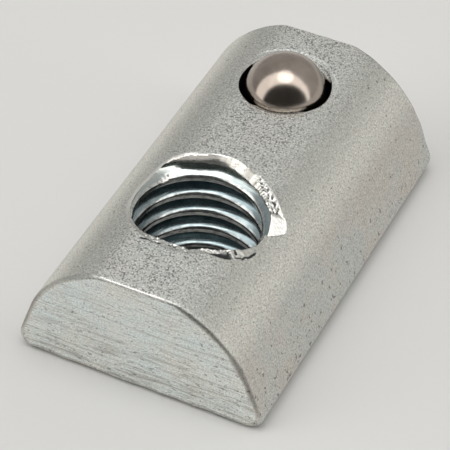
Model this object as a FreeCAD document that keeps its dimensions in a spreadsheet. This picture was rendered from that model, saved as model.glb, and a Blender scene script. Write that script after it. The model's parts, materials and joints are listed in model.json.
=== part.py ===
import FreeCAD
import Part
import Sketcher
import math
import os

# Half-round T slot nut with a spring-loaded ball, in millimetres.
# The flat underside lies on z = 0, the nut's length runs along y and its width along x.
# The origin is at the bottom centre. The threaded hole is towards -y and the ball towards +y.

doc = FreeCAD.newDocument("t_slot_nut")
vector = FreeCAD.Vector

# Driving dimensions
driving = [
    ("body_length", 22.0, "length of the bar along the slot"),
    ("body_width", 14.0, "width across the two lower corner rounds"),
    ("body_height", 7.2, "underside to crown flat"),
    ("corner_round", 0.9, "radius of the lower long edges"),
    ("flank_lean", 19.5, "degrees that the flanks lean inwards"),
    ("crown_flat", 3.54, "width of the flat along the crown"),
    ("crown_blend", 2.0, "radius between crown flat and shoulder"),
    ("end_round", 0.22, "tumbled edge round of both end faces"),
    ("bore_diameter", 6.8, "tapping bore of the M8 thread"),
    ("bore_from_end", 6.9, "near end face to thread axis"),
    ("crown_sink_width", 0.42, "countersink reach beyond the bore, crown side"),
    ("crown_sink_depth", 0.5, "countersink depth on the crown side"),
    ("base_sink_width", 0.75, "countersink reach beyond the bore, flat side"),
    ("base_sink_depth", 0.75, "countersink depth on the flat side"),
    ("ball_diameter", 4.5, "steel ball"),
    ("ball_from_end", 4.6, "far end face to ball axis"),
    ("ball_rise", 1.6, "ball top above the crown flat"),
    ("pocket_gap", 0.27, "side gap between ball and pocket wall"),
    ("pocket_floor", 1.2, "steel left under the pocket"),
    ("ring_width", 0.3, "width of the staked ring round the mouth"),
    ("ring_depth", 0.04, "depth of the staked ring at the mouth"),
    ("lip_depth", 0.18, "edge of the staked lips below the crown"),
    ("lip_slope", 0.25, "height over which a lip fades into the wall"),
    ("lip_angle", 70.0, "degrees that each lip runs round the mouth"),
    ("lip_gap", 0.02, "gap between ball and lip edge"),
    ("wire_diameter", 0.4, "spring wire"),
    ("spring_side_gap", 0.3, "gap between spring and pocket wall"),
    ("spring_seat_gap", 0.03, "gap between spring and its two seats"),
    ("closed_turns", 0.75, "closed turns at each end of the spring"),
    ("closed_pitch", 0.42, "rise per closed turn"),
    ("active_turns", 2.25, "working turns between the closed ends"),
]

sheet = doc.addObject("Spreadsheet::Sheet", "sizes")
for row, (alias, number, meaning) in enumerate(driving, start=1):
    sheet.set(f"A{row}", alias)
    sheet.set(f"B{row}", str(number))
    sheet.set(f"C{row}", meaning)
    sheet.setAlias(f"B{row}", alias)
doc.recompute()


def size(alias):
    return float(getattr(sheet, alias))


# Places that more than one piece reads, as expressions of the sheet
bore_place = "(sizes.bore_from_end - sizes.body_length / 2)"
ball_place = "(sizes.body_length / 2 - sizes.ball_from_end)"
ball_radius = "(sizes.ball_diameter / 2)"
ball_height = f"(sizes.body_height + sizes.ball_rise - {ball_radius})"
pocket_radius = f"({ball_radius} + sizes.pocket_gap)"
overshoot = "1"


# Helpers for sketches and outlines
def plane_of(body, role):
    for plane in body.Origin.OriginFeatures:
        if plane.Role == role:
            return plane
    raise ValueError(role)


def add_sketch(body, name, role, shift="0"):
    """A sketch on one of the body's own planes, moved along the sketch's first axis."""
    sketch = body.newObject("Sketcher::SketchObject", name)
    sketch.AttachmentSupport = (plane_of(body, role), [""])
    sketch.MapMode = "FlatFace"
    sketch.setExpression(".AttachmentOffset.Base.x", shift)
    doc.recompute()
    return sketch


def number_of(owner, expression):
    value = owner.evalExpression(expression)
    return float(getattr(value, "Value", value))


def bind(sketch, name, constraint, expression):
    """Add a dimension to the sketch under a name and bind it to the sheet."""
    index = sketch.addConstraint(constraint)
    sketch.renameConstraint(index, name)
    sketch.setExpression(f"Constraints.{name}", expression)


def closed_outline(sketch, corners):
    """A closed outline of straight lines. Each corner is (name, across, up) in expressions."""
    points = []
    for name, across, up in corners:
        points.append(vector(number_of(sketch, across), number_of(sketch, up), 0))
    count = len(corners)
    for index in range(count):
        line = Part.LineSegment(points[index], points[(index + 1) % count])
        sketch.addGeometry(line, False)
    for index in range(count):
        joint = Sketcher.Constraint("Coincident", index, 2, (index + 1) % count, 1)
        sketch.addConstraint(joint)
    for index, (name, across, up) in enumerate(corners):
        if across == "0":
            sketch.addConstraint(Sketcher.Constraint("PointOnObject", index, 1, -2))
        else:
            reach = Sketcher.Constraint("DistanceX", -1, 1, index, 1, points[index].x)
            bind(sketch, name + "_across", reach, across)
        rise = Sketcher.Constraint("DistanceY", -1, 1, index, 1, points[index].y)
        bind(sketch, name + "_up", rise, up)


def revolve(body, kind, name, sketch):
    """A revolved feature round the sketch's upright axis, through a full turn."""
    feature = body.newObject(kind, name)
    feature.Profile = sketch
    feature.ReferenceAxis = (sketch, ["V_Axis"])
    feature.Angle = 360.0
    sketch.Visibility = False
    doc.recompute()
    return feature


# Nut body: half-round bar
nut = doc.addObject("PartDesign::Body", "nut_body")
nut.Label = "nut_body"


def draw_section(sketch):
    """The bar's section: flat base, corner rounds, leaning flanks, shoulders, blends, crown flat."""
    corner = size("corner_round")
    blend = size("crown_blend")
    height = size("body_height")
    half_flat = size("crown_flat") / 2
    lean = math.radians(size("flank_lean"))
    corner_x = size("body_width") / 2 - corner

    # The shoulder's centre lies on the mid-plane, tangent to the flank and round the blend
    flank_reach = corner_x * math.cos(lean) + corner * math.sin(lean) + corner
    reach = flank_reach - blend
    drop = height - blend
    first = drop - reach * math.sin(lean)
    second = half_flat**2 + drop**2 - reach**2
    shoulder_up = (first - math.sqrt(first**2 - math.cos(lean)**2 * second)) / math.cos(lean)**2
    shoulder = flank_reach - shoulder_up * math.sin(lean)
    turn = math.atan2(drop - shoulder_up, half_flat)

    def on_circle(centre_x, centre_up, radius, angle):
        return vector(centre_x + radius * math.cos(angle), centre_up + radius * math.sin(angle), 0)

    def arc(centre_x, centre_up, radius, start, end):
        circle = Part.Circle(vector(centre_x, centre_up, 0), vector(0, 0, 1), radius)
        return Part.ArcOfCircle(circle, start, end)

    straight = math.pi
    low_right = on_circle(corner_x, corner, corner, lean)
    high_right = on_circle(0, shoulder_up, shoulder, lean)
    low_left = on_circle(-corner_x, corner, corner, straight - lean)
    high_left = on_circle(0, shoulder_up, shoulder, straight - lean)
    shapes = [
        Part.LineSegment(vector(-corner_x, 0, 0), vector(corner_x, 0, 0)),
        arc(corner_x, corner, corner, -straight / 2, lean),
        Part.LineSegment(low_right, high_right),
        arc(0, shoulder_up, shoulder, lean, turn),
        arc(half_flat, drop, blend, turn, straight / 2),
        Part.LineSegment(vector(half_flat, height, 0), vector(-half_flat, height, 0)),
        arc(-half_flat, drop, blend, straight / 2, straight - turn),
        arc(0, shoulder_up, shoulder, straight - turn, straight - lean),
        Part.LineSegment(high_left, low_left),
        arc(-corner_x, corner, corner, straight - lean, straight * 1.5),
    ]
    base, corner_r, flank_r, shoulder_r, blend_r, crown, blend_l, shoulder_l, flank_l, corner_l = range(10)
    for shape in shapes:
        sketch.addGeometry(shape, False)

    # Every joint is smooth, so each is a tangency between two ends
    chain = list(range(len(shapes)))
    for here, after in zip(chain, chain[1:] + chain[:1]):
        sketch.addConstraint(Sketcher.Constraint("Tangent", here, 2, after, 1))
    sketch.addConstraint(Sketcher.Constraint("PointOnObject", base, 1, -1))
    sketch.addConstraint(Sketcher.Constraint("Equal", blend_r, blend_l))
    sketch.addConstraint(Sketcher.Constraint("Symmetric", base, 1, base, 2, -2))
    sketch.addConstraint(Sketcher.Constraint("Symmetric", crown, 1, crown, 2, -2))
    sketch.addConstraint(Sketcher.Constraint("PointOnObject", shoulder_r, 3, -2))
    sketch.addConstraint(Sketcher.Constraint("PointOnObject", shoulder_l, 3, -2))
    bind(sketch, "corner", Sketcher.Constraint("Radius", corner_r, corner), "sizes.corner_round")
    bind(sketch, "blend", Sketcher.Constraint("Radius", blend_r, blend), "sizes.crown_blend")
    half_base = Sketcher.Constraint("DistanceX", -1, 1, base, 2, corner_x)
    bind(sketch, "half_base", half_base, "sizes.body_width / 2 - sizes.corner_round")
    flat_edge = Sketcher.Constraint("DistanceX", -1, 1, crown, 1, half_flat)
    bind(sketch, "flat_edge", flat_edge, "sizes.crown_flat / 2")
    crown_up = Sketcher.Constraint("DistanceY", -1, 1, crown, 1, height)
    bind(sketch, "crown_up", crown_up, "sizes.body_height")
    right_lean = Sketcher.Constraint("Angle", -2, 1, flank_r, 1, lean)
    bind(sketch, "right_lean", right_lean, "sizes.flank_lean * 1 deg")
    sketch.addConstraint(Sketcher.Constraint("Symmetric", flank_r, 1, flank_l, 2, -2))


section = add_sketch(nut, "section", "XZ_Plane")
draw_section(section)
doc.recompute()

bar = nut.newObject("PartDesign::Pad", "bar")
bar.Profile = section
bar.SideType = "Symmetric"
bar.setExpression("Length", "sizes.body_length")
section.Visibility = False
doc.recompute()


def edges_at_ends(shape):
    """Names of the edges that lie in either end face."""
    half = size("body_length") / 2
    names = []
    for number, edge in enumerate(shape.Edges, start=1):
        box = edge.BoundBox
        flat = box.YLength < 1e-6
        if flat and abs(abs(box.YMin) - half) < 1e-6:
            names.append(f"Edge{number}")
    return names


tumbled = nut.newObject("PartDesign::Fillet", "tumbled_ends")
tumbled.Base = (bar, edges_at_ends(bar.Shape))
tumbled.setExpression("Radius", "sizes.end_round")
doc.recompute()

# Nut body: threaded hole, with its countersinks
bore_radius = "(sizes.bore_diameter / 2)"
bore_sketch = add_sketch(nut, "bore_outline", "YZ_Plane", bore_place)
sink_foot = "(sizes.body_height - sizes.crown_sink_depth)"
sink_steep = "sizes.crown_sink_width / sizes.crown_sink_depth"
base_steep = "sizes.base_sink_width / sizes.base_sink_depth"
closed_outline(bore_sketch, [
    ("axis_low", "0", f"-{overshoot}"),
    ("base_low", f"{bore_radius} + sizes.base_sink_width + {overshoot} * {base_steep}", f"-{overshoot}"),
    ("base_foot", bore_radius, "sizes.base_sink_depth"),
    ("crown_foot", bore_radius, sink_foot),
    ("crown_high", f"{bore_radius} + sizes.crown_sink_width + {overshoot} * {sink_steep}",
     f"sizes.body_height + {overshoot}"),
    ("axis_high", "0", f"sizes.body_height + {overshoot}"),
])
threaded_bore = revolve(nut, "PartDesign::Groove", "threaded_bore", bore_sketch)

# Nut body: blind pocket for spring and ball
pocket_sketch = add_sketch(nut, "pocket_outline", "YZ_Plane", ball_place)
closed_outline(pocket_sketch, [
    ("floor_axis", "0", "sizes.pocket_floor"),
    ("floor_edge", pocket_radius, "sizes.pocket_floor"),
    ("mouth_edge", pocket_radius, f"sizes.body_height + {overshoot}"),
    ("mouth_axis", "0", f"sizes.body_height + {overshoot}"),
])
pocket = revolve(nut, "PartDesign::Groove", "ball_pocket", pocket_sketch)

# Nut body: two staked lips that stop the ball, one on each side along the length
# The staking tool pushes the pocket's edge down and inwards, so each lip slopes down from the crown
lip_up = "(sizes.body_height - sizes.lip_depth)"
ball_reach = f"({ball_radius} + sizes.lip_gap)"
lip_edge = f"sqrt({ball_reach}^2 - ({lip_up} - {ball_height})^2)"
lip_root = f"({pocket_radius} + sizes.ring_width / 2)"
lip_sketch = add_sketch(nut, "lip_outline", "YZ_Plane", ball_place)
closed_outline(lip_sketch, [
    ("edge_low", lip_edge, lip_up),
    ("root_low", lip_root, f"{lip_up} - sizes.lip_slope"),
    ("root_high", lip_root, "sizes.body_height"),
    ("edge_high", pocket_radius, "sizes.body_height"),
])
lip = revolve(nut, "PartDesign::Revolution", "staked_lip", lip_sketch)
lip.Midplane = True
lip.setExpression("Angle", "sizes.lip_angle")
doc.recompute()

lips = nut.newObject("PartDesign::PolarPattern", "staked_lips")
lips.Originals = [lip]
lips.Axis = (lip_sketch, ["V_Axis"])
lips.Angle = 360.0
lips.Occurrences = 2
nut.Tip = lips
doc.recompute()

# Nut body: shallow ring that the staking tool leaves round the mouth
ring_outer = f"({pocket_radius} + sizes.ring_width)"
ring_steep = "sizes.ring_depth / sizes.ring_width"
ring_sketch = add_sketch(nut, "ring_outline", "YZ_Plane", ball_place)
closed_outline(ring_sketch, [
    ("cone_tip", "0", f"sizes.body_height - {ring_outer} * {ring_steep}"),
    ("cone_rim", f"{ring_outer} + {overshoot}", f"sizes.body_height + {overshoot} * {ring_steep}"),
    ("rim_high", f"{ring_outer} + {overshoot}", f"sizes.body_height + {overshoot}"),
    ("axis_high", "0", f"sizes.body_height + {overshoot}"),
])
staked_ring = revolve(nut, "PartDesign::Groove", "staked_ring", ring_sketch)
nut.Tip = staked_ring

# Ball
ball = doc.addObject("Part::Sphere", "detent_ball")
ball.Label = "detent_ball"
ball.setExpression("Radius", ball_radius)
ball.setExpression(".Placement.Base.y", ball_place)
ball.setExpression(".Placement.Base.z", ball_height)
doc.recompute()


# Spring: closed ends on the pocket floor and under the ball, open working turns between
wire_sides = 12


def coil(pitch, turns, radius, start_turns, start_up):
    """One stretch of a right-hand coil, set on from where the last one ended."""
    stretch = Part.makeHelix(pitch, pitch * turns, radius)
    stretch.rotate(vector(0, 0, 0), vector(0, 0, 1), 360.0 * start_turns)
    stretch.translate(vector(0, 0, start_up))
    return stretch


def wire_outline(start, radius):
    """The wire's section at the coil's start. Many flat sides stand for the round wire."""
    corners = []
    for side in range(wire_sides + 1):
        angle = 2 * math.pi * (side + 0.5) / wire_sides
        corners.append(start + vector(math.cos(angle), 0, math.sin(angle)) * radius)
    return Part.makePolygon(corners)


def spring_shape():
    wire_radius = size("wire_diameter") / 2
    gap = size("spring_seat_gap")
    coil_radius = number_of(sheet, pocket_radius) - size("spring_side_gap") - wire_radius

    # The lowest turn lies on the pocket floor, and the highest one touches the ball from below
    touch = number_of(sheet, ball_radius) + wire_radius + gap
    low = size("pocket_floor") + wire_radius + gap
    high = number_of(sheet, ball_height) - math.sqrt(touch**2 - coil_radius**2)

    closed = size("closed_turns")
    active = size("active_turns")
    closed_pitch = size("closed_pitch")
    closed_rise = closed * closed_pitch
    active_pitch = (high - low - 2 * closed_rise) / active
    path = Part.Wire([
        *coil(closed_pitch, closed, coil_radius, 0, low).Edges,
        *coil(active_pitch, active, coil_radius, closed, low + closed_rise).Edges,
        *coil(closed_pitch, closed, coil_radius, closed + active, high - closed_rise).Edges,
    ])
    outline = wire_outline(path.Vertexes[0].Point, wire_radius)
    solid = path.makePipeShell([outline], True, True)
    section = wire_sides / 2 * math.sin(2 * math.pi / wire_sides) * wire_radius**2
    print("spring volume", round(solid.Volume, 3), "expected", round(section * path.Length, 3))
    return solid


spring = doc.addObject("Part::Feature", "detent_spring")
spring.Label = "detent_spring"
spring.Shape = spring_shape()
spring.Placement = FreeCAD.Placement(vector(0, number_of(sheet, ball_place), 0), FreeCAD.Rotation())
doc.recompute()

# Checks and export
for item in doc.Objects:
    if "Invalid" in item.State or "Error" in item.State:
        raise RuntimeError(f"{item.Name} failed: {item.State}")

# Each cut removes steel and each lip adds some
volumes = [feature.Shape.Volume for feature in (bar, tumbled, threaded_bore, pocket, lips, staked_ring)]
print("nut body volume after each step", [round(volume, 2) for volume in volumes])
if not volumes[0] > volumes[1] > volumes[2] > volumes[3] < volumes[4] > volumes[5]:
    raise RuntimeError("a feature of the nut body changed nothing")

os.makedirs("parts", exist_ok=True)
for piece in (nut, ball, spring):
    shape = piece.Shape
    if shape.isNull() or not shape.isValid():
        raise RuntimeError(f"{piece.Label} has no valid shape")
    print(piece.Label, "solids", len(shape.Solids), "volume", round(shape.Volume, 3))
    shape.exportStep(f"parts/{piece.Label}.step")
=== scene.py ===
# %% [markdown]
# # A half-round T slot nut with a spring ball
# The nut is a short bar of zinc-plated steel: flat below, rounded above, sawn square at both ends.
# A thread goes through it near one end. Near the other end a steel ball sits on a small spring in
# a blind pocket, and two staked lips keep it there. This lesson builds the three pieces around a
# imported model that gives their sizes, and everything is in metres in that model's frame.

# %% Load the frame
import json
import math
from functools import cache

import bmesh
import bpy
from mathutils import Matrix, Vector, noise


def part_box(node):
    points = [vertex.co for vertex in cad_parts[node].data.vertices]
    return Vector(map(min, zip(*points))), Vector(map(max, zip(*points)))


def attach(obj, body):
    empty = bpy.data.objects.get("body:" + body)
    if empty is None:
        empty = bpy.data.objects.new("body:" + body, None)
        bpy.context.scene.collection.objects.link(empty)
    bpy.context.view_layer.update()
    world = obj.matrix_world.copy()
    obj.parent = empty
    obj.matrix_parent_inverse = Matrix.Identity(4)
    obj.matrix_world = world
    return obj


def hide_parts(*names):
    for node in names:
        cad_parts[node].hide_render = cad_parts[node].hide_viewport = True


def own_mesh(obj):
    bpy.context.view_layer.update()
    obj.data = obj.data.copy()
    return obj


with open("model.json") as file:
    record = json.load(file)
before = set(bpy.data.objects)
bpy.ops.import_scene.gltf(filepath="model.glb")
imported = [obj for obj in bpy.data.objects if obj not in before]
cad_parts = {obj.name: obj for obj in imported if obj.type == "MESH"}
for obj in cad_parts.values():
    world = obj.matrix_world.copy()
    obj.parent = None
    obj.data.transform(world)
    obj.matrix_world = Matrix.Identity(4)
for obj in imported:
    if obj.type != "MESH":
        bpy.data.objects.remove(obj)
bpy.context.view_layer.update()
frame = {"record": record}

# %% [markdown]
# ## Sizes
# A model of a small part is easier to think about in millimetres, so the shapes are worked out in
# millimetres and made smaller by `MM` at the end. What the frame knows is read from it: the body's
# box, the thread's axis and the ball's centre. The rest are the section's and the pocket's radii.

# %% Sizes of the nut
MM = 0.001
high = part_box("nut_body")[1] / MM
ball_low, ball_high = (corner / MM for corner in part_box("detent_ball"))
spring_low, spring_high = (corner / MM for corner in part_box("detent_spring"))
thread_mount = next(mount for mount in frame["record"]["mounts"] if mount["name"] == "thread")

half_length = high.y
half_width = high.x
crown_up = high.z
thread_y = thread_mount["pos_m"][1] / MM
ball_centre = (ball_low + ball_high) / 2
ball_r = (ball_high.z - ball_low.z) / 2

half_flat = 1.77
blend_r = 2.0
corner_r = 0.9
lean = math.radians(19.5)
pocket_r = ball_r + 0.27
pocket_floor = 1.2
print("thread axis at y", round(thread_y, 3), "ball centre", [round(c, 3) for c in ball_centre])

# %% [markdown]
# ## Camera
# The photograph was taken from the thread's end, high up and from the right, with a long lens. The
# view was found by matching the nut's corners, and it is written as two angles, a distance and a
# small shift of the aim, which is how a photographer would describe it.

# %% Camera
SENSOR = 36.0
PHOTO = 450
azimuth, elevation, roll = (math.radians(angle) for angle in (26.6047, 43.9935, -0.3148))
focal_pixels = 2392.638
distance = 129.8306
aim_right, aim_up = -0.43335, 1.53090

back = Vector((math.sin(azimuth) * math.cos(elevation),
               -math.cos(azimuth) * math.cos(elevation), math.sin(elevation)))
level_right = Vector((math.cos(azimuth), math.sin(azimuth), 0))
level_up = back.cross(level_right)
view_right = level_right * math.cos(roll) + level_up * math.sin(roll)
view_up = level_up * math.cos(roll) - level_right * math.sin(roll)
eye = back * distance + view_right * aim_right + view_up * aim_up

lens = bpy.data.cameras.new("photo_view")
lens.sensor_width = SENSOR
lens.lens = focal_pixels / PHOTO * SENSOR
lens.clip_start = 0.01
lens.clip_end = 5.0
camera = bpy.data.objects.new("camera", lens)
turn = Matrix((view_right, view_up, back)).transposed().to_4x4()
camera.matrix_world = Matrix.Translation(eye * MM) @ turn
bpy.context.scene.collection.objects.link(camera)
bpy.context.scene.camera = camera
print("lens", round(lens.lens, 1), "mm, eye", [round(c, 1) for c in eye])

# %% [markdown]
# ## Small helpers
# Shapes here need a few listed curves: how far the rim of the thread reaches at each angle,
# for one. `around` reads such a table round the circle, `ease` is the smooth step between two
# values, and `between` is one step up and one down. Every piece ends the same way, in
# `finish_mesh`: its bmesh becomes a mesh in metres.


# %% Helpers
def ease(low_end, high_end, value):
    """0 below low_end, 1 above high_end, and a smooth step between them."""
    share = min(1.0, max(0.0, (value - low_end) / (high_end - low_end)))
    return share * share * (3 - 2 * share)


def between(value, start, full, fade, end):
    """1 from full to fade, 0 before start and after end, with smooth steps."""
    return ease(start, full, value) * (1 - ease(fade, end, value))


def around(table, angle):
    """Read a table of (degrees, value) round a full circle, with straight steps between entries."""
    first_angle = table[0][0]
    angle = (angle - first_angle) % 360 + first_angle
    closed = table + [(first_angle + 360, table[0][1])]
    for (start, start_value), (end, end_value) in zip(closed, closed[1:]):
        if angle <= end:
            return start_value + (end_value - start_value) * (angle - start) / (end - start)
    return table[0][1]


def grain(x, y, size, seed=0.0):
    """Smooth noise from -1 to 1 with bumps of about the given size, the same on every run."""
    return noise.noise(Vector((x / size, y / size, seed)))


def finish_mesh(name, mesh):
    """Turn a bmesh in millimetres into an object in metres."""
    bmesh.ops.remove_doubles(mesh, verts=mesh.verts, dist=0.002)
    bmesh.ops.recalc_face_normals(mesh, faces=mesh.faces)
    bmesh.ops.scale(mesh, vec=(MM, MM, MM), verts=mesh.verts)
    for face in mesh.faces:
        face.smooth = True
    triangles = sum(len(face.verts) - 2 for face in mesh.faces)
    open_edges = sum(1 for edge in mesh.edges if len(edge.link_faces) != 2)
    data = bpy.data.meshes.new(name)
    mesh.to_mesh(data)
    mesh.free()
    piece = bpy.data.objects.new(name, data)
    bpy.context.scene.collection.objects.link(piece)
    print(name, "triangles", triangles, "edges without two faces", open_edges)
    return piece


print("half way up a step", ease(0, 1, 0.5))
print("a table read between two entries", around([(0, 1.0), (180, 3.0)], 90))

# %% [markdown]
# ## The section
# The bar was drawn to a half-round profile: a flat base, small corner rounds, leaning flanks, one
# large shoulder arc and a blend into the narrow flat on the crown. It could be a cylinder cut by
# planes, but a drawn outline gives every radius its own value and even faces along the bar. The
# shoulder's centre lies on the mid-plane, so its height follows from the two tangencies.

# %% Section of the bar
corner_x = half_width - corner_r
flank_reach = corner_x * math.cos(lean) + corner_r * math.sin(lean) + corner_r
reach = flank_reach - blend_r
drop = crown_up - blend_r
first = drop - reach * math.sin(lean)
second = half_flat**2 + drop**2 - reach**2
shoulder_up = (first - math.sqrt(first**2 - math.cos(lean)**2 * second)) / math.cos(lean)**2
shoulder_r = flank_reach - shoulder_up * math.sin(lean)
blend_turn = math.atan2(drop - shoulder_up, half_flat)
blend_x = shoulder_r * math.cos(blend_turn)


def crown(x):
    """Height of the section's upper side at a distance x from the middle."""
    x = abs(x)
    if x <= half_flat:
        return crown_up
    if x <= blend_x:
        return drop + math.sqrt(blend_r**2 - (x - half_flat)**2)
    return shoulder_up + math.sqrt(max(0.0, shoulder_r**2 - x**2))


print("shoulder radius", round(shoulder_r, 3), "and its centre's height", round(shoulder_up, 3))

# %% Points round the section
step = 0.125
top_half = 5.5
hole_half = 5.0
shoulder_steps, flank_steps, corner_steps, base_steps = 6, 10, 10, 5
tiny = 0.001


def section_points():
    """Points round the section, from the middle of the crown to the right and back to it."""
    right = [(index * step, crown(index * step)) for index in range(int(top_half / step) + 1)]
    start = math.asin(top_half / shoulder_r)
    end = math.pi / 2 - lean
    for index in range(1, shoulder_steps + 1):
        angle = start + (end - start) * index / shoulder_steps
        right.append((shoulder_r * math.sin(angle), shoulder_up + shoulder_r * math.cos(angle)))
    flank_top = Vector(right[-1])
    flank_foot = Vector((corner_x + corner_r * math.cos(lean),
                         corner_r + corner_r * math.sin(lean)))
    for index in range(1, flank_steps + 1):
        right.append(tuple(flank_top.lerp(flank_foot, index / flank_steps)))
    for index in range(1, corner_steps + 1):
        angle = lean - (lean + math.pi / 2) * index / corner_steps
        right.append((corner_x + corner_r * math.cos(angle), corner_r + corner_r * math.sin(angle)))
    for index in range(1, base_steps):
        right.append((corner_x + (hole_half - corner_x) * index / base_steps, 0.0))
    right += [(index * step, 0.0) for index in range(int(hole_half / step), -1, -1)]
    left = [(-x, z) for x, z in reversed(right[1:-1])]
    return right + left


def section_normal(x, z):
    """The section's outward direction at one of its points."""
    side = math.copysign(1.0, x)
    x = abs(x)
    if z < tiny and x <= corner_x + tiny:
        return Vector((0, -1))
    if z <= corner_r * (1 + math.sin(lean)) + tiny:
        outward = Vector((x - corner_x, z - corner_r)).normalized()
    elif z <= shoulder_up + shoulder_r * math.sin(lean):
        outward = Vector((math.cos(lean), math.sin(lean)))
    elif x > blend_x:
        outward = Vector((x, z - shoulder_up)).normalized()
    elif x > half_flat:
        outward = Vector((x - half_flat, z - drop)).normalized()
    else:
        outward = Vector((0, 1))
    return Vector((outward.x * side, outward.y))


outline = section_points()
print("section points", len(outline))

# %% [markdown]
# ## The skin of the bar
# The section loop is swept along y in even steps, which gives square faces that a hole can be cut
# into on the grid. `spin` with no angle and a `dvec` is a sweep that keeps every step. A vertex
# layer called `home` remembers each vertex's place on the section for the end rounding. Two more
# layers stay in the mesh for the materials: `bare_and_painted_light` is 1 where fresh steel shows
# or a highlight is painted, 0 on the plating, and below 0 where shade or a dark reflection is
# painted, down to -1 in a crack, and `groove` is 1 at the bottom of the thread's groove, where the
# thread is painted dark as shade.

# %% Sweep the skin
end_margin = 0.5
span = half_length - end_margin
rows = int(round(2 * span / step))
SKIN, END, THREAD, POCKET = range(4)

nut = bmesh.new()
home = nut.verts.layers.float_vector.new("home")
bare_and_painted_light = nut.verts.layers.float.new("bare_and_painted_light")
groove = nut.verts.layers.float.new("groove")
loop = [nut.verts.new((x, -span, z)) for x, z in outline]
for vert in loop:
    vert[home] = vert.co
loop_edges = [nut.edges.new((loop[i - 1], loop[i])) for i in range(len(loop))]
bmesh.ops.spin(nut, geom=loop + loop_edges, cent=(0, 0, 0), axis=(0, 1, 0),
               dvec=(0, 2 * span / rows, 0), angle=0, steps=rows, use_duplicate=False)
print("skin faces", len(nut.faces))


# %% Cut square windows on the grid
mid_height = 3.0
margin = 0.01


def window(centre_y, half, on_top):
    """Delete the skin's faces in a square window and return the edges round it."""
    def in_window(point):
        right_side = point.z > mid_height if on_top else point.z < margin
        return right_side and max(abs(point.x), abs(point.y - centre_y)) < half + margin

    faces = [face for face in nut.faces if in_window(face.calc_center_median())]
    bmesh.ops.delete(nut, geom=faces, context="FACES")
    return [edge for edge in nut.edges
            if edge.is_boundary and all(in_window(vert.co) for vert in edge.verts)]


def on_grid(y):
    """The place along the bar nearest to y at which the skin has a row of edges."""
    return -span + round((y + span) / step) * step


thread_window_y = on_grid(thread_y)
pocket_half = 3.5
pocket_window_y = on_grid(ball_centre.y)
thread_top = window(thread_window_y, hole_half, True)
thread_base = window(thread_window_y, hole_half, False)
pocket_top = window(pocket_window_y, pocket_half, True)
print("window edges", len(thread_top), len(thread_base), len(pocket_top))

# %% [markdown]
# ## The sawn ends
# The ends were sawn and then tumbled, so their edges are slightly round: hardly at the crown, and
# about 0.4 mm at the base, where the saw left a burr that the drum wore off. A bevel would give one
# even radius, so the open edge is extruded in five small steps round a quarter circle whose radius
# wanders. A last narrow ring keeps the flat face's shading flat.

# %% Round and close the ends
crown_round = 0.16
shoulder_extra = 0.09
base_round = 0.42
wear_share, wear_size = 0.35, 0.9
crown_wear_and_highlight, shoulder_painted_dark = 0.55, 0.42


def grow(edges):
    """Extrude a loop of edges in place, as plated skin, and return its new vertices and edges."""
    result = bmesh.ops.extrude_edge_only(nut, edges=edges)["geom"]
    for item in result:
        if isinstance(item, bmesh.types.BMFace):
            item.material_index = SKIN
    verts = [item for item in result if isinstance(item, bmesh.types.BMVert)]
    return verts, [item for item in result if isinstance(item, bmesh.types.BMEdge)]


def end_place(point, side, share):
    """A point of the end's rounding, share 0 at the skin and 1 at the flat face."""
    wear = 1 + wear_share * grain(point.x, point.z + 20 * side, wear_size)
    upper_round = crown_round + shoulder_extra * ease(1.8, 4.0, abs(point.x))
    radius = (base_round + (upper_round - base_round) * ease(0.0, 1.6, point.z)) * wear
    angle = share * math.pi / 2
    inward = section_normal(point.x, point.z) * -radius * (1 - math.cos(angle))
    away = half_length - radius + radius * math.sin(angle)
    return Vector((point.x + inward.x, side * away, point.z + inward.y))


def end_wear_and_painted_light(point, share):
    """The rounding is worn bare over the crown, with a painted highlight, and painted dark beside
    it as a dark reflection.
    """
    beside = ease(1.2, 2.6, abs(point.x))
    wear_and_light = crown_wear_and_highlight * (1 - beside) - shoulder_painted_dark * beside
    return wear_and_light * ease(0.5, 2.0, point.z) * math.sin(math.pi * share)


round_steps = 5
cap_margin = 0.05
for side in (-1, 1):
    ring = [edge for edge in nut.edges if edge.is_boundary
            and all(abs(vert.co.y - side * span) < tiny for vert in edge.verts)]
    for index in range(round_steps + 1):
        verts, ring = grow(ring)
        for vert in verts:
            vert.co = end_place(vert[home], side, index / round_steps)
            # the rounding's colour: a painted highlight on worn steel over the crown, a painted
            # dark reflection beside it
            vert[bare_and_painted_light] = end_wear_and_painted_light(vert.co, index / round_steps)
    cap = bmesh.ops.edgeloop_fill(nut, edges=ring)["faces"]
    border = bmesh.ops.inset_region(nut, faces=cap, thickness=cap_margin, depth=0)["faces"]
    for face in cap + border:
        face.material_index = END
print("faces with both ends", len(nut.faces))

# %% [markdown]
# ## The thread
# The hole is an M8 thread, cut after the bar was sawn. A thread can be cut by a boolean with a
# screw, which leaves ragged faces. Here one column of points down the thread's profile is spun a
# full turn while it climbs one pitch, so each row of faces follows the helix and the crests stay
# crisp. The column is longer than the nut: what would stand above the rim or below the base is
# moved onto the rim, and `remove_doubles` then closes the wall there. Under the rim is a chamfer
# that turns steeper at a break. The rim is not round, because the tapping tore the steel at the
# crown. Its radius at each angle is a short table read off the photograph, in degrees from +x and
# millimetres from the thread's axis. A second table gives how far the torn band reaches.

# %% Thread profile
pitch = 1.25
crest_r = 3.32
root_r = 4.0
crest_width = pitch / 4
flank_rise = 0.375
first_crest = 5.6
rows_per_pitch = 20
columns = 320


def thread_radius(height, angle):
    """Radius of the thread's wall. The crest's lower edge is at first_crest on the far side."""
    phase = (height - first_crest - pitch * (angle - 90) / 360) % pitch
    if phase < crest_width:
        return crest_r
    if phase < crest_width + flank_rise:
        return crest_r + (root_r - crest_r) * (phase - crest_width) / flank_rise
    if phase < pitch - flank_rise:
        return root_r
    return crest_r + (root_r - crest_r) * (pitch - phase) / flank_rise


print("thread", crest_r * 2, "to", root_r * 2, "mm, pitch", pitch)

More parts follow.
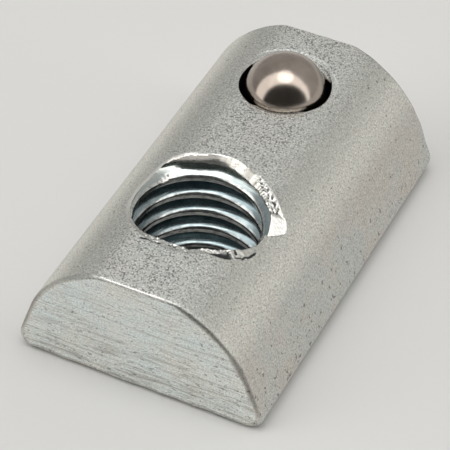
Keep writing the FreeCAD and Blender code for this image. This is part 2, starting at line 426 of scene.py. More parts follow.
# %% Rim and chamfer
rim_table = [
    (3, 3.76), (10, 3.75), (18, 3.77), (24, 3.80), (29, 3.72), (34, 3.66), (46, 3.62), (60, 3.66),
    (68, 3.74), (74, 3.82), (82, 3.89), (99, 3.90), (107, 3.82), (115, 3.74), (122, 3.82),
    (130, 3.92), (137, 3.98), (143, 3.93), (151, 3.74), (161, 3.58), (180, 3.52), (210, 3.44),
    (224, 3.38), (234, 3.32), (246, 3.18), (253, 3.04), (261, 2.96), (269, 2.93), (276, 2.95),
    (284, 3.05), (290, 3.12), (299, 3.08), (311, 3.24), (322, 3.32), (328, 3.48), (333, 3.66),
    (340, 3.70), (350, 3.78), (357, 3.78),
]
torn_table = [
    (5, 3.90), (12, 4.36), (16, 4.61), (20, 4.60), (25, 4.54), (29, 4.40), (33, 4.27), (38, 4.18),
    (44, 4.02), (49, 3.93), (57, 3.85), (62, 3.75), (70, 3.60), (355, 3.60),
]
base_rim = root_r + 0.15
chamfer_slope, lower_slope, undercut_slope = 1.1, 0.3, 2.2
lower_reach = 0.3


def chamfer_break(angle):
    """Depth at which the chamfer turns steeper: less on the left, where the tool reached less."""
    return 0.25 + 0.17 * (1 - ease(70, 100, abs((angle + 60) % 360 - 60)))


def place_round(centre_y, radius, angle):
    """The x and y of a point at a radius and an angle round a vertical axis."""
    turned = math.radians(angle)
    return radius * math.cos(turned), centre_y + radius * math.sin(turned)


def angle_of(point, centre_y):
    """A point's angle round a vertical axis, in degrees from +x."""
    return math.degrees(math.atan2(point.y - centre_y, point.x)) % 360


def column_angle(point):
    """The exact angle of the thread's column that a point is in."""
    return round(angle_of(point, thread_y) * columns / 360) * 360 / columns % 360


@cache
def rim_radius(angle):
    """The rim's radius at an angle, with a fine ragged edge."""
    return around(rim_table, angle) + 0.02 * grain(*place_round(0, 4, angle), 0.25)


print("rim points", len(rim_table), "chamfer break", chamfer_break(0), "to", chamfer_break(180))

# %% [markdown]
# ## The torn crown round the thread
# Beside the rim the crown is damaged: a torn band and a bright bruise on the right, a rolled rim at
# the back, a shallow tool mark on the left, and a thin lip on the near side that was folded over
# the hole, with cracks behind it. A bump map could only hint at it, so the damage moves the mesh.
# Each function gives how far it raises or sinks the crown at a place and how bright the steel is
# there: 1 is bare steel or a painted highlight, 0 is plating and -1 is painted shade inside a crack
# or a pit.

# %% Cracks behind the folded lip
cracks = [
    [(-1.45, -7.55), (-1.10, -7.50), (-0.72, -7.40), (-0.45, -7.38)],
    [(-0.05, -7.30), (0.18, -7.25), (0.42, -7.19)],
    [(2.69, -6.21), (2.84, -6.32), (2.95, -6.50)],
    [(3.30, -6.28), (3.54, -6.05), (3.78, -5.66), (3.84, -5.25)],
    [(3.02, -5.92), (3.20, -6.10)],
]
notch = [(2.18, -6.86), (2.44, -6.77), (2.74, -6.64), (2.94, -6.50)]
crack_half, crack_depth = 0.065, 0.04
notch_half, notch_depth = 0.19, 0.13


def to_segment(point, start, end):
    """Distance from a point to the straight line between two others."""
    along = end - start
    share = min(1.0, max(0.0, (point - start).dot(along) / along.length_squared))
    return (point - start - along * share).length


def nearness(lines, half, x, y):
    """1 on one of the lines and 0 away from them, with a wavering edge."""
    point = Vector((x + 0.04 * grain(x, y, 0.2), y + 0.04 * grain(x, y, 0.2, 3.0)))
    nearest = min(to_segment(point, Vector(start), Vector(end))
                  for line in lines for start, end in zip(line, line[1:]))
    return 1 - ease(half * 0.5, half * 1.2, nearest)


print("cracks", len(cracks), "nearness on the first", nearness(cracks, crack_half, -1.10, -7.50))


# %% Torn band and bruise
facet_angles = (5, 26)
facet_back = -2.26
thinnest_band = 0.02


def torn_band(x, y, angle, radius, rim):
    """Rough between the rim and the band's edge, with a smooth tilted bruise at its lower end. Its
    deeper hollows are painted dark as shade.
    """
    torn = around(torn_table, angle)
    band = torn - rim
    if band <= thinnest_band:
        return 0.0, 0.0
    inward = (torn - radius) / band
    in_facet = between(angle, facet_angles[0] - 1, facet_angles[0] + 1,
                       facet_angles[1] - 1, facet_angles[1] + 2)
    depth = ease(0.0, 0.3 - 0.18 * in_facet, inward) * ease(thinnest_band, 0.3, band)
    rough = grain(x, y, 0.13) + grain(x, y, 0.075, 5.0)
    torn_depth = 0.08 + 0.16 * max(0.0, inward) + 0.08 * rough
    facet_depth = 0.05 + 0.32 * max(0.0, facet_back - y)
    sunk = depth * (torn_depth * (1 - in_facet) + facet_depth * in_facet)
    # where the band sinks deeper its colour is painted dark as shade; its high spots and the bruise
    # are bare steel
    shine = depth * ((0.1 - 2.4 * rough) * (1 - in_facet) + in_facet)
    return -sunk, shine


print("bruise", [round(value, 3) for value in torn_band(3.9, -2.83, 18, 4.1, 3.77)])

# %% Rolled rim, tool mark and folded lip
mark_r, mark_half, mark_depth = 4.28, 0.07, 0.05
rolled_drop, burr_rise = 0.05, 0.05
ridge_from_rim, ridge_half, ridge_depth = 0.16, 0.05, 0.05


def rolled_rim(angle, radius, past_rim):
    """The rim at the back, rolled down, with a painted highlight along it, and the tool's round
    mark on the left.
    """
    mark = math.exp(-((radius - mark_r) / mark_half)**2) * between(angle, 150, 162, 212, 224)
    rolled = between(angle, 108, 124, 232, 248)
    drop = mark_depth * mark + rolled_drop * rolled * (1 - ease(0.0, 0.13, past_rim))
    # the rolled edge's brightness is a painted highlight
    return -drop, 0.9 * rolled * (1 - ease(0.10, 0.26, past_rim)) if rolled > 0 else None


def folded_lip(x, y, angle, past_rim):
    """The wavy lip in front, with a burr and lumps at its right end and a ridge beyond them. Its
    edge is painted a little lighter as a highlight, and the burr and lumps are bare steel.
    """
    folded = between(angle, 236, 250, 334, 344)
    edge = 1 - ease(0.0, 0.34, past_rim)
    burr = between(angle, 294, 302, 322, 330) * (1 - ease(0.02, 0.12, past_rim))
    lumps = between(angle, 318, 326, 338, 346) * (1 - ease(0.35, 0.6, past_rim))
    ridged = ease(330, 345, angle) if angle > 180 else 1 - ease(4, 10, angle)
    ridge = ridged * math.exp(-((past_rim - ridge_from_rim) / ridge_half)**2)
    rise = folded * edge * (0.015 + 0.03 * grain(x, y, 0.3, 8.0)) + burr_rise * burr
    rise += lumps * (0.02 + 0.07 * grain(x, y, 0.22, 12.0)) - ridge_depth * ridge
    # a painted highlight along the lip's edge, bare steel on the burr and the lumps
    return rise, max(0.2 * folded * edge, 0.7 * burr, 0.25 * lumps) if folded > 0 else None


print("rolled rim at the back", rolled_rim(180, 3.55, 0.03))


# %% All the damage together
def crown_change(angle, radius):
    """Rise of the crown in millimetres, and how bare the steel is or what highlight or shade is
    painted on it, from -1 to 1.
    """
    x, y = place_round(thread_y, radius, angle)
    rim = around(rim_table, angle)
    rise, shine = torn_band(x, y, angle, radius, rim)
    more = (rolled_rim(angle, radius, radius - rim), folded_lip(x, y, angle, radius - rim))
    for more_rise, more_shine in more:
        rise += more_rise
        if more_shine is not None:
            shine = max(shine, more_shine)

    if 235 < angle < 345 and radius < 4.4:
        crack = nearness(cracks, crack_half, x, y)
        dent = nearness([notch], notch_half, x, y)
        rise -= crack_depth * crack + notch_depth * dent
        # the cracks and the notch are painted dark as shade
        shine = shine * (1 - max(crack, dent)) - max(crack, 0.8 * dent)
    return rise, max(-1.0, min(1.0, shine))


print("crown at 18 degrees", [round(value, 3) for value in crown_change(18, 4.1)])


# %% Where the thread's wall goes
snap = 0.012
overhang = 1.1


@cache
def rim_height(angle):
    """Height of the damaged crown at the rim."""
    rim_x, _ = place_round(thread_y, rim_radius(angle), angle)
    return crown(rim_x) + crown_change(angle, rim_radius(angle))[0]


def wall_place(height, angle):
    """Where a point of the wall goes, and how bare it is, with the crown's painted highlight and
    shade at the rim.

    The point lies between the rim, the chamfers, the thread and the base."""
    rim = rim_radius(angle)
    depth = rim_height(angle) - height
    if depth <= snap:
        return rim, rim_height(angle), crown_change(angle, rim)[1]
    if height <= snap:
        return base_rim, 0.0, 0.0
    radius = thread_radius(height, angle)
    ragged = 0.035 * grain(angle / 9, height * 0.3, 0.3, 2.0)
    bend = chamfer_break(angle) + ragged
    below = max(0.0, depth - bend)
    chamfer = rim - chamfer_slope * min(depth, bend) - lower_slope * min(below, lower_reach)
    chamfer -= undercut_slope * max(0.0, below - lower_reach)
    on_chamfer = ease(-0.03, 0.02, chamfer - radius) * (1 - 0.35 * ease(-0.03, 0.03, depth - bend))
    radius = min(max(radius, chamfer), rim + overhang * depth + margin)
    return max(radius, base_rim - height), height, on_chamfer


print("rim height at 90 degrees", round(rim_height(90), 3))

# %% Spin the thread's wall
start_low, start_high = -1.5, 8.75
profile_rows = int((start_high - start_low) / pitch * rows_per_pitch)
old_verts = set(nut.verts)
column = []
for index in range(profile_rows + 1):
    height = start_low + index * pitch / rows_per_pitch
    column.append(nut.verts.new((thread_radius(height, 0), thread_y, height)))
column_edges = [nut.edges.new(pair) for pair in zip(column, column[1:])]
bmesh.ops.spin(nut, geom=column + column_edges, cent=(0, thread_y, 0), axis=(0, 0, 1),
               dvec=(0, 0, pitch / columns), angle=math.tau, steps=columns, use_duplicate=False)

wall = [vert for vert in nut.verts if vert not in old_verts]
for vert in wall:
    angle = column_angle(vert.co)
    radius, height, shine = wall_place(vert.co.z, angle)
    x, y = place_round(thread_y, radius, angle)
    vert.co = (x, y, height)
    vert[bare_and_painted_light] = shine
    depth_share = max(0.0, min(1.0, (radius - crest_r) / (root_r - crest_r)))
    # groove marks where the thread's colour is painted dark as shade
    vert[groove] = depth_share * (1 - abs(shine))
bmesh.ops.remove_doubles(nut, verts=wall, dist=0.002)
for face in nut.faces:
    if not any(vert in old_verts for vert in face.verts):
        face.material_index = THREAD
print("faces with the thread", len(nut.faces))


# %% [markdown]
# ## Joining the thread to the skin
# The rim and the square window have the same number of edges. The rim's edge is extruded outwards
# ring by ring, closely spaced so that the torn steel has real shape, and `bridge_loops` closes the
# last step to the square. The bridge's long edges are then cut so that it follows the crown.

# %% Rings and bridges
def rim_edges(centre_y, reach_out, on_top):
    """The open edges of a hole's wall, on the crown or on the base."""
    found = []
    for edge in nut.edges:
        if not edge.is_boundary:
            continue
        middle = (edge.verts[0].co + edge.verts[1].co) / 2
        near = math.hypot(middle.x, middle.y - centre_y) < reach_out
        if near and (middle.z > mid_height) == on_top:
            found.append(edge)
    return found


def bridge(inner, square, cuts, height):
    """Bridge a ring to its square window and lay the new faces on the crown or on the base."""
    faces = bmesh.ops.bridge_loops(nut, edges=inner + square)["faces"]
    for face in faces:
        face.material_index = SKIN
    loops = set(inner + square)
    across = list({edge for face in faces for edge in face.edges if edge not in loops})
    cut = bmesh.ops.subdivide_edges(nut, edges=across, cuts=cuts)["geom_inner"]
    for item in cut:
        if isinstance(item, bmesh.types.BMVert):
            item.co.z = height(item.co.x)


print("open edges at the thread", len(rim_edges(thread_y, 4.4, True)), "on the crown")

# %% Rings round the thread
ring_count, ring_growth = 24, 1.25
ring_reach = 4.8
base_rings = 3
ring = rim_edges(thread_y, 4.4, True)
angles_known = nut.verts.layers.float.new("angle")
for vert in {vert for edge in ring for vert in edge.verts}:
    vert[angles_known] = column_angle(vert.co)
for index in range(1, ring_count + 1):
    verts, ring = grow(ring)
    for vert in verts:
        angle = vert[angles_known]
        rim = rim_radius(angle)
        radius = rim + (ring_reach - rim) * (index / ring_count)**ring_growth
        x, y = place_round(thread_y, radius, angle)
        rise, shine = crown_change(angle, radius)
        fade = 1 - ease(0.9, 1.0, index / ring_count)
        vert.co = (x, y, crown(x) + rise * fade)
        vert[bare_and_painted_light] = shine * fade
bridge(ring, thread_top, 5, crown)

ring = rim_edges(thread_y, base_rim + 0.05, False)
for index in range(1, base_rings + 1):
    verts, ring = grow(ring)
    radius = base_rim + (ring_reach - base_rim) * index / base_rings
    for vert in verts:
        outward = Vector((vert.co.x, vert.co.y - thread_y, 0)).normalized()
        vert.co = Vector((0, thread_y, 0)) + outward * radius
bridge(ring, thread_base, 2, lambda x: 0.0)
print("faces with the thread joined", len(nut.faces))

# %% [markdown]
# ## The ball's pocket
# The pocket is a blind drilled hole with a flat floor. A ring-shaped punch was driven round its
# mouth: it left a shallow ring, and it pushed the edge in and down at the two ends to keep the
# ball. A cylinder cut from the bar would have a sharp, flat mouth, so the pocket is one profile
# spun a full turn, with its upper rows laid onto the crown. The lips keep the plating, and the
# drilled wall below them is painted dark, as the shade deep in the bore.

# %% Mouth and lips of the pocket
pocket_columns = 4 * int(2 * pocket_half / step)
lip_in, lip_drop, lip_under = 0.30, 0.18, 0.25
upper_from, upper_rows = 6.2, 16
ring_depth = 0.035
mouth_depth = 0.8 * ring_depth
lip_table = [(0, 0), (30, 0), (44, 1), (146, 1), (164, 0), (236, 0), (252, 1), (316, 1), (332, 0)]


def lip_share(angle):
    """1 on the two staked lips, towards both ends of the nut, and 0 beside them."""
    return around(lip_table, angle)


def lip_push(angle, depth):
    """How far a lip reaches in at a depth below the mouth, which is most at lip_drop."""
    if depth < lip_drop:
        share = ease(0.05, lip_drop, depth)
    else:
        share = 1 - ease(lip_drop, lip_drop + lip_under, depth)
    return lip_in * lip_share(angle) * share


def pocket_mouth(angle):
    """Height of the pocket's mouth, a little below the crown."""
    x, _ = place_round(ball_centre.y, pocket_r, angle)
    return crown(x) - mouth_depth


print("lip share towards the near end", lip_share(270), "and at the side", lip_share(0))

# %% Spin the pocket
old_verts = set(nut.verts)
foot = pocket_floor + 0.12
foot_steps = 6
profile = [(0, pocket_floor), (1.2, pocket_floor), (2.3, pocket_floor),
           (pocket_r - 0.05, pocket_floor + 0.02), (pocket_r, foot)]
profile += [(pocket_r, foot + (upper_from - foot) * index / foot_steps)
            for index in range(1, foot_steps + 1)]
profile += [(pocket_r, upper_from + index / upper_rows) for index in range(1, upper_rows + 1)]
column = [nut.verts.new((radius, ball_centre.y, height)) for radius, height in profile]
column_edges = [nut.edges.new(pair) for pair in zip(column, column[1:])]
bmesh.ops.spin(nut, geom=column + column_edges, cent=(0, ball_centre.y, 0), axis=(0, 0, 1),
               angle=math.tau, steps=pocket_columns, use_merge=True, use_duplicate=False)
wall = [vert for vert in nut.verts if vert not in old_verts]
for vert in wall:
    angle = angle_of(vert.co, ball_centre.y)
    vert[angles_known] = angle
    if vert.co.z > upper_from + tiny:
        mouth = pocket_mouth(angle)
        height = upper_from + (vert.co.z - upper_from) * (mouth - upper_from)
        x, y = place_round(ball_centre.y, pocket_r - lip_push(angle, mouth - height), angle)
        vert.co = (x, y, height)
bmesh.ops.remove_doubles(nut, verts=wall, dist=0.002)
for face in nut.faces:
    if not any(vert in old_verts for vert in face.verts):
        middle = face.calc_center_median()
        angle = angle_of(middle, ball_centre.y)
        on_lip = lip_share(angle) > 0.2 and pocket_mouth(angle) - middle.z < lip_drop
        face.material_index = SKIN if on_lip else POCKET
print("faces with the pocket", len(nut.faces))

# %% Staked ring, and the finished skin
staked_table = [
    (0, 2.72), (23, 2.84), (40, 2.76), (90, 2.72), (130, 2.88), (160, 2.98), (190, 2.80),
    (230, 2.78), (264, 2.70), (300, 2.70), (340, 2.70),
]
pocket_rings = 14
pocket_reach = 3.3
staked_half, staked_shine = 0.05, 0.12
ring = rim_edges(ball_centre.y, pocket_r + 0.1, True)
for index in range(1, pocket_rings + 1):
    verts, ring = grow(ring)
    for vert in verts:
        angle = vert[angles_known]
        radius = pocket_r + (pocket_reach - pocket_r) * index / pocket_rings
        x, y = place_round(ball_centre.y, radius, angle)
        staked = around(staked_table, angle) + 0.02 * grain(x, y, 0.3)
        sunk = 1 - ease(staked - staked_half, staked + staked_half, radius)
        vert.co = (x, y, crown(x) - ring_depth * sunk)
        vert[bare_and_painted_light] = staked_shine * sunk
bridge(ring, pocket_top, 2, crown)
nut.verts.layers.float.remove(angles_known)
nut.verts.layers.float_vector.remove(nut.verts.layers.float_vector["home"])
nut_piece = finish_mesh("nut_skin", nut)

# %% [markdown]
# ## The ball
# A ball-bearing ball has no seam. A UV sphere has two poles where its faces crowd together, and an
# icosphere has none, so its highlight stays clean.

# %% Ball
ball = bmesh.new()
bmesh.ops.create_icosphere(ball, subdivisions=6, radius=ball_r,
                           matrix=Matrix.Translation(ball_centre))
ball_piece = finish_mesh("steel_ball", ball)

# %% [markdown]
# ## The spring
# The spring is hidden, but it has to fit at every position of the ball. A curve with a round bevel
# could draw it, and a spin of the wire's circle gives even rings of faces and two flat ends. It is
# spun about the pocket's axis in three stretches: a nearly closed end, the open working turns, and
# the other closed end. Each spin climbs by its own pitch.

# %% Spring
wire_r = 0.2
coil_r = (spring_high.x - spring_low.x) / 2 - wire_r
closed_turns, closed_pitch, active_turns = 0.75, 0.42, 2.25
spring_bottom = spring_low.z + wire_r
spring_top = spring_high.z - wire_r
active_pitch = (spring_top - spring_bottom - 2 * closed_turns * closed_pitch) / active_turns
steps_per_turn, wire_sides = 64, 20

spring = bmesh.new()
place = Matrix.Translation((coil_r, ball_centre.y, spring_bottom))
place @= Matrix.Rotation(math.pi / 2, 4, "X")
section = bmesh.ops.create_circle(spring, cap_ends=False, segments=wire_sides, radius=wire_r,
                                  matrix=place)["verts"]
geometry = section + list({edge for vert in section for edge in vert.link_edges})
ends = [[item for item in geometry if isinstance(item, bmesh.types.BMEdge)]]
closed_end = (closed_turns, closed_pitch)
for turns, rise in (closed_end, (active_turns, active_pitch), closed_end):
    steps = round(turns * steps_per_turn)
    geometry = bmesh.ops.spin(spring, geom=geometry, cent=(0, ball_centre.y, 0), axis=(0, 0, 1),
                              dvec=(0, 0, rise / steps_per_turn), angle=math.tau * turns,
                              steps=steps, use_duplicate=False)["geom_last"]
ends.append([item for item in geometry if isinstance(item, bmesh.types.BMEdge)])
for end in ends:
    bmesh.ops.edgeloop_fill(spring, edges=end)
spring_piece = finish_mesh("coil_spring", spring)

# %% [markdown]
# ## Materials
# Every surface here is metal, so one small class builds them all: a metallic shader whose colour,
# roughness and bump come from noise. Pictures could be wrapped round the parts instead, but noise
# has no seams and no end. All patterns read Object coordinates, in metres, so a noise scale of
# 10000 gives marks of a tenth of a millimetre.


# %% Material helpers
def grey(level):
    return level, level, level, 1


class Shader:
    """A node material with short ways to add and link nodes."""

    def __init__(self, name):
        self.material = bpy.data.materials.new(name)
        self.material.use_nodes = True
        self.tree = self.material.node_tree
        self.principled = self.tree.nodes["Principled BSDF"]
        self.position = self.tree.nodes.new("ShaderNodeTexCoord").outputs["Object"]

    def feed(self, socket, value):
        """Set a socket to a number or a colour, or link another node's output to it."""
        if isinstance(value, (int, float, tuple)):
            socket.default_value = value
        else:
            self.tree.links.new(value, socket)

    def add(self, kind, sockets, **settings):
        """Add a node, set its settings and feed its sockets by name."""
        node = self.tree.nodes.new(kind)
        for key, value in settings.items():
            setattr(node, key, value)
        for name, value in sockets:
            self.feed(next(s for s in node.inputs if s.name == name and s.enabled), value)
        return node

    def axes(self):
        """The X, Y and Z of a place on the piece."""
        return self.add("ShaderNodeSeparateXYZ", [("Vector", self.position)]).outputs

    def attribute(self, name):
        return self.add("ShaderNodeAttribute", [], attribute_name=name).outputs["Fac"]

    def stretched(self, scale):
        """Object coordinates with each axis scaled, for streaks."""
        sockets = [("Vector", self.position), ("Scale", scale)]
        return self.add("ShaderNodeMapping", sockets).outputs["Vector"]

    def noise(self, scale, detail=3.0, rough=0.6, position=None):
        sockets = [("Vector", position or self.position), ("Scale", scale), ("Detail", detail),
                   ("Roughness", rough)]
        return self.add("ShaderNodeTexNoise", sockets).outputs["Fac"]

    def spread(self, value, from_low, from_high, to_low=0.0, to_high=1.0):
        """Map a value from one range to another, clamped."""
        sockets = [("Value", value), ("From Min", from_low), ("From Max", from_high),
                   ("To Min", to_low), ("To Max", to_high)]
        return self.add("ShaderNodeMapRange", sockets).outputs["Result"]

    def math(self, operation, first, second):
        node = self.add("ShaderNodeMath", [], operation=operation)
        for socket, value in zip(node.inputs, (first, second)):
            self.feed(socket, value)
        return node.outputs["Value"]

    def mix(self, share, first, second, blend="MIX"):
        sockets = [("Factor", share), ("A", first), ("B", second)]
        node = self.add("ShaderNodeMix", sockets, data_type="RGBA", blend_type=blend)
        return next(socket for socket in node.outputs if socket.enabled)

    def bump(self, height, strength, depth, below=None):
        """Bump of the given depth in metres on top of the one below."""
        sockets = [("Height", height), ("Strength", strength), ("Distance", depth)]
        if below is not None:
            sockets.append(("Normal", below))
        return self.add("ShaderNodeBump", sockets).outputs["Normal"]

    def finish(self, colour, rough, normal=None, metallic=1.0):
        """Feed the shader itself and return the material."""
        inputs = self.principled.inputs
        self.feed(inputs["Metallic"], metallic)
        self.feed(inputs["Base Color"], colour)
        self.feed(inputs["Roughness"], rough)
        if normal is not None:
            self.feed(inputs["Normal"], normal)
        print("material", self.material.name, "nodes", len(self.tree.nodes))
        return self.material


# %% [markdown]
# ## Zinc plating
# Zinc on steel is a dull mirror: metallic, with a roughness that breaks every reflection up. The
# tumbling drum left it sparkling on the crown, and smoother and warmer down the flanks, with dark
# pits near the base. A lighter band on the shoulder and a darker one above it are painted
# reflections. One noise could give the dark and the light specks, but then they would follow each
# other, so there are two. Bare and cracked places come from the mesh's `bare_and_painted_light`
# layer, because they belong to its shape; the same layer paints highlights on the rolled rim, the
# lip and the end's rounding, shade in cracks, the notch and the torn band's hollows, and a dark
# reflection on the end's rounding beside the crown.


# %% Zinc colours
def zinc_tint_and_painted_bands(shader, up, on_crown):
    """The colour without its specks, in soft clouds: flank, shoulder, upper shoulder, crown. The
    shoulder is painted lighter and the upper shoulder darker by height, as painted reflections.
    """
    cloud = shader.noise(260, 3)
    warm_or_cool = shader.spread(cloud, 0.40, 0.60)
    side = shader.mix(warm_or_cool, (0.665, 0.635, 0.59, 1), (0.635, 0.65, 0.625, 1))
    # painted reflection: a lighter band on the shoulder and a darker one above it, set by height
    side = shader.mix(shader.spread(up, 0.0040, 0.0050), side, (0.79, 0.785, 0.73, 1))
    side = shader.mix(shader.spread(up, 0.0055, 0.0066), side, (0.575, 0.58, 0.545, 1))
    warm_or_cool = shader.spread(cloud, 0.35, 0.65)
    top = shader.mix(warm_or_cool, (0.71, 0.705, 0.68, 1), (0.695, 0.72, 0.695, 1))
    return shader.mix(on_crown, side, top)


def zinc_specks(shader, fine, on_crown):
    """What the colour is multiplied by: dark and light specks, strongest on the crown."""
    drift = shader.spread(shader.noise(900, 2), 0.35, 0.6, 0.6, 1.0)
    sparkle = shader.math("MULTIPLY", on_crown, drift)
    dark = shader.mix(sparkle, grey(0.74), (0.36, 0.36, 0.37, 1))
    light = shader.mix(sparkle, (1.24, 1.24, 1.22, 1), (1.42, 1.42, 1.40, 1))
    glints = shader.noise(12500, 1, 0.5, shader.stretched((1.0, 0.8, 1.3)))
    dulled = shader.mix(shader.spread(fine, 0.50, 0.36), grey(1.0), dark)
    lifted = shader.mix(shader.spread(glints, 0.53, 0.66), grey(1.0), light)
    return shader.mix(1.0, dulled, lifted, "MULTIPLY")


# %% Zinc-plated skin
def zinc_skin():
    shader = Shader("zinc_plating")
    place = shader.axes()
    across = shader.math("ABSOLUTE", place["X"], 0)
    on_crown = shader.spread(across, 0.0012, 0.0040, 1.0, 0.0)
    fine = shader.noise(10500, 1, 0.5)
    tint_and_bands = zinc_tint_and_painted_bands(shader, place["Z"], on_crown)
    skin = shader.mix(1.0, tint_and_bands, zinc_specks(shader, fine, on_crown), "MULTIPLY")

    pit_level = shader.spread(place["Z"], 0.0015, 0.0045, 0.345, 0.30)
    in_pit = shader.math("LESS_THAN", shader.noise(3400, 2, 0.6), pit_level)
    pitted = shader.mix(in_pit, skin, (0.30, 0.29, 0.27, 1))
    shine = shader.attribute("bare_and_painted_light")
    # bare steel, and painted highlights on the rolled rim, the lip and the end's rounding
    bare_and_highlit = shader.mix(shader.spread(shine, 0.0, 1.0), pitted, (0.93, 0.92, 0.88, 1))
    # painted shade in cracks, the notch and the torn band's hollows, and a painted dark reflection
    # on the end's rounding
    painted_dark_share = shader.spread(shine, -0.75, -0.1, 1.0, 0.0)
    colour = shader.mix(painted_dark_share, bare_and_highlit, (0.055, 0.06, 0.062, 1))

    lengthwise = shader.noise(1500, 3, 0.6, shader.stretched((1.0, 0.12, 1.0)))
    normal = shader.bump(fine, 0.8, 0.000022)
    normal = shader.bump(shader.noise(5200, 2), 0.4, 0.00003, normal)
    normal = shader.bump(lengthwise, 0.25, 0.00003, normal)
    return shader.finish(colour, shader.spread(shine, 0.0, 0.8, 0.52, 0.28), normal)


nut_piece.data.materials.append(zinc_skin())

# %% [markdown]
# ## Sawn ends
# The saw left fine lines along x, closer together near the base, and a few short pits. A wave
# texture makes lines too, but evenly spaced ones. Noise that is squeezed along z gives lines of
# every length, and where it is cut off at a level it gives thin scratches and dashes.


# %% Sawn ends
def sawn_end():
    shader = Shader("sawn_end")
    near_base = shader.spread(shader.axes()["Z"], 0.0005, 0.005, 1.0, 0.0)
    fine = shader.noise(11000, 1)
    patches = shader.spread(shader.noise(420, 3), 0.35, 0.65)
    base = shader.mix(patches, (0.865, 0.875, 0.83, 1), (0.825, 0.885, 0.88, 1))
    grained = shader.mix(shader.spread(fine, 0.38, 0.62), grey(0.80), grey(1.12))
    base = shader.mix(1.0, base, grained, "MULTIPLY")

    streaks = shader.noise(420, 3, 0.6, shader.stretched((1.0, 1.0, 16.0)))
    streak_share = shader.spread(near_base, 0.0, 1.0, 0.35, 0.75)
    shade = shader.math("MULTIPLY", shader.spread(streaks, 0.50, 0.36), streak_share)
    colour = shader.mix(shade, base, (0.40, 0.385, 0.35, 1))
    for scale, squeeze, top_level, base_level, share, tone in (
            (900, 12.0, 0.36, 0.41, 0.4, (0.33, 0.32, 0.30, 1)),
            (3400, 3.0, 0.335, 0.365, 0.8, grey(0.20))):
        marks = shader.noise(scale, 2, 0.6, shader.stretched((1.0, 1.0, squeeze)))
        level = shader.spread(near_base, 0.0, 1.0, top_level, base_level)
        in_mark = shader.math("LESS_THAN", marks, level)
        colour = shader.mix(shader.math("MULTIPLY", in_mark, share), colour, tone)
    normal = shader.bump(streaks, 0.5, 0.00003, shader.bump(fine, 0.5, 0.000015))
    return shader.finish(colour, 0.45, normal)


nut_piece.data.materials.append(sawn_end())

# %% [markdown]
# ## The cut thread
# The tap left a smooth, mirror-like cut. Its colour is painted dark and bluish in the groove and
# darker deeper down the hole, as painted shade, lighter near the mouth, bright on the crests, and
# bare on the chamfer. One colour would leave the thread hard to read from above, so the mesh's
# `groove` and `bare_and_painted_light` layers choose between three, and noise stretched round the
# hole draws the torn streaks.


# %% Cut thread
def cut_thread():
    shader = Shader("cut_thread")
    up = shader.axes()["Z"]
    lines = shader.noise(2600, 1, 0.5, shader.stretched((0.14, 0.14, 4.5)))
    tears = shader.noise(5200, 3, 0.65, shader.stretched((0.6, 0.6, 1.6)))
    # painted shade: the crests are darker deeper down the hole
    lit = shader.spread(up, 0.0015, 0.0062)
    torn_crest = shader.mix(lit, grey(0.12), (0.42, 0.42, 0.41, 1))
    clean_crest = shader.mix(lit, (0.36, 0.36, 0.35, 1), (0.80, 0.81, 0.78, 1))
    crest = shader.mix(shader.spread(tears, 0.38, 0.56), torn_crest, clean_crest)
    patches = shader.spread(shader.noise(900, 3), 0.4, 0.6)
    # painted shade: the groove is dark, and lighter near the mouth
    root = shader.mix(patches, (0.29, 0.37, 0.40, 1), (0.42, 0.50, 0.52, 1))
    root = shader.mix(shader.spread(up, 0.0058, 0.0066), root, (0.62, 0.64, 0.60, 1))
    wall = shader.mix(shader.spread(shader.attribute("groove"), 0.04, 0.26), crest, root)
    in_tear = shader.spread(tears, 0.36, 0.44)
    bare_and_highlit = shader.mix(in_tear, (0.50, 0.49, 0.45, 1), (0.84, 0.82, 0.765, 1))
    shine = shader.attribute("bare_and_painted_light")
    colour = shader.mix(shader.spread(shine, 0.0, 1.0), wall, bare_and_highlit)
    rough = shader.spread(shine, 0.0, 1.0, 0.17, 0.36)
    return shader.finish(colour, rough, shader.bump(lines, 0.35, 0.00002))


nut_piece.data.materials.append(cut_thread())

# %% [markdown]
# ## Pocket, ball and spring
# The pocket's drilled wall is painted nearly black, as the shade deep in the bore, with marks along
# its depth. The ball is a clear brownish mirror, so a very smooth metal would do, and a faint haze
# in its colour and roughness keeps it from looking drawn. The wire is plain drawn steel.


# %% Pocket, ball and spring
def pocket_wall():
    shader = Shader("pocket_wall")
    fine = shader.noise(4000, 3, 0.6, shader.stretched((1.0, 1.0, 4.0)))
    # painted shade: the bore's wall is nearly black
    base = shader.mix(fine, (0.05, 0.045, 0.04, 1), (0.10, 0.095, 0.085, 1))
    return shader.finish(base, 0.45, shader.bump(fine, 0.4, 0.00003))


def polished_ball():
    shader = Shader("polished_ball")
    haze = shader.noise(600, 3)
    base = shader.mix(shader.spread(haze, 0.35, 0.65), (0.36, 0.31, 0.27, 1), (0.47, 0.41, 0.36, 1))
    rough = shader.spread(haze, 0.3, 0.7, 0.14, 0.22)
    return shader.finish(base, rough, shader.bump(shader.noise(6000, 3), 0.12, 0.00001))


def drawn_wire():
    shader = Shader("drawn_wire")
    fine = shader.noise(5000, 2)
    base = shader.mix(fine, (0.30, 0.30, 0.30, 1), (0.48, 0.47, 0.46, 1))
    return shader.finish(base, 0.32, shader.bump(fine, 0.3, 0.00001))


nut_piece.data.materials.append(pocket_wall())
ball_piece.data.materials.append(polished_ball())
spring_piece.data.materials.append(drawn_wire())

# %% [markdown]
# ## Floor and light
# A small metal part shows what surrounds it, and the ball shows it best: an arch of light stands
# round the camera, broad overhead and thinner at both sides, the space inside the arch is dark,
# and the rest of the room is a warm grey, a little lighter on the right. A few lamps could not
# draw that arch, so the world does: everything within one angle of a direction low on the
# camera's side is bright, and everything within a smaller angle is dark. A soft lamp overhead
# gives the shadow. The floor is plain.

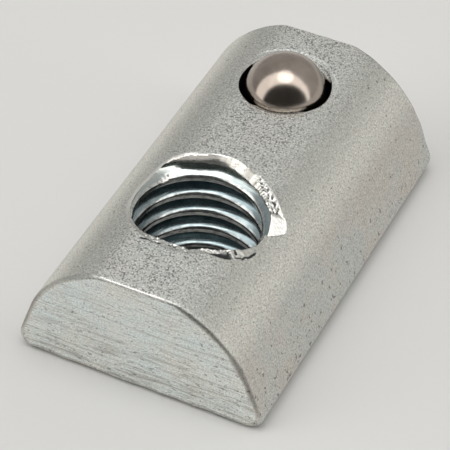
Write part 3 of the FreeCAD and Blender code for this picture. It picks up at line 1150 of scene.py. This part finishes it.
# %% Floor
floor_half = 400
floor = bmesh.new()
bmesh.ops.create_grid(floor, x_segments=1, y_segments=1, size=floor_half)
floor_piece = finish_mesh("floor", floor)
shader = Shader("pale_floor")
floor_piece.data.materials.append(shader.finish((0.74, 0.74, 0.73, 1), 0.8, metallic=0.0))


# %% Lamp
def from_camera(turned, raised):
    """A direction turned to the right of the camera's and raised from level, in degrees."""
    flat = azimuth + math.radians(turned)
    raised = math.radians(raised)
    level_part = math.cos(raised)
    return Vector((math.sin(flat) * level_part, -math.cos(flat) * level_part, math.sin(raised)))


def softbox(name, direction, distance, size, power):
    """A soft lamp that looks at the nut. Distance and size are in millimetres."""
    data = bpy.data.lights.new(name, "AREA")
    data.shape = "ELLIPSE"
    data.size, data.size_y = size[0] * MM, size[1] * MM
    data.energy = power
    light = bpy.data.objects.new(name, data)
    facing = direction.to_track_quat("Z", "Y").to_matrix().to_4x4()
    light.matrix_world = Matrix.Translation(direction * distance * MM) @ facing
    bpy.context.scene.collection.objects.link(light)
    print("lamp", name, [round(part, 2) for part in direction])


softbox("overhead", from_camera(4, 86), 260, (190, 180), 0.105)

# %% World
ROOM_LEFT, ROOM_RIGHT, ARCH, DARK = 0.42, 0.50, 1.85, 0.05
world = bpy.data.worlds.new("studio")
bpy.context.scene.world = world
world.use_nodes = True
nodes = world.node_tree.nodes
links = world.node_tree.links
looking = nodes.new("ShaderNodeTexCoord").outputs["Generated"]


def around_direction(direction, far, near, to_far, to_near):
    """One value beyond the angle far from a direction and another within the angle near."""
    facing = nodes.new("ShaderNodeVectorMath")
    facing.operation = "DOT_PRODUCT"
    facing.inputs[1].default_value = direction
    links.new(looking, facing.inputs[0])
    node = nodes.new("ShaderNodeMapRange")
    node.interpolation_type = "SMOOTHSTEP"
    far_cosine, near_cosine = math.cos(math.radians(far)), math.cos(math.radians(near))
    for name, number in (("From Min", far_cosine), ("From Max", near_cosine),
                         ("To Min", to_far), ("To Max", to_near)):
        node.inputs[name].default_value = number
    links.new(facing.outputs["Value"], node.inputs["Value"])
    return node.outputs["Result"]


def combine(share, first, second):
    """Mix two plain numbers, each of which may come from another node."""
    node = nodes.new("ShaderNodeMix")
    sockets = (node.inputs[0], node.inputs[2], node.inputs[3])
    for socket, value in zip(sockets, (share, first, second)):
        if isinstance(value, float):
            socket.default_value = value
        else:
            links.new(value, socket)
    return node.outputs[0]


room = around_direction(from_camera(90, 20), 140, 40, ROOM_LEFT, ROOM_RIGHT)
arch = around_direction(from_camera(-11, 18), 83, 75, 0.0, 1.0)
dark_space = around_direction(from_camera(-2, 4), 65, 57, 0.0, 1.0)
level = combine(dark_space, combine(arch, room, ARCH), DARK)
links.new(level, nodes["Background"].inputs["Strength"])
nodes["Background"].inputs["Color"].default_value = (1.0, 0.985, 0.96, 1)
print("world: room", ROOM_LEFT, "to", ROOM_RIGHT, "arch", ARCH, "dark space", DARK)

# %% Plain colours
bpy.context.scene.view_settings.view_transform = "Standard"
print("view transform", bpy.context.scene.view_settings.view_transform)

# %% [markdown]
# ## Riding on the bodies
# Each piece stands for one node of the imported model and moves with its body. The spring is in the
# nut's body.

# %% Bodies
pieces = [
    (nut_piece, "nut", "nut_body", "zinc_plated_steel"),
    (ball_piece, "ball", "detent_ball", "polished_ball_steel"),
    (spring_piece, "nut", "detent_spring", "spring_wire"),
]
for piece, body, node, slot in pieces:
    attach(piece, body)
    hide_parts(node)

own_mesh(spring_piece)
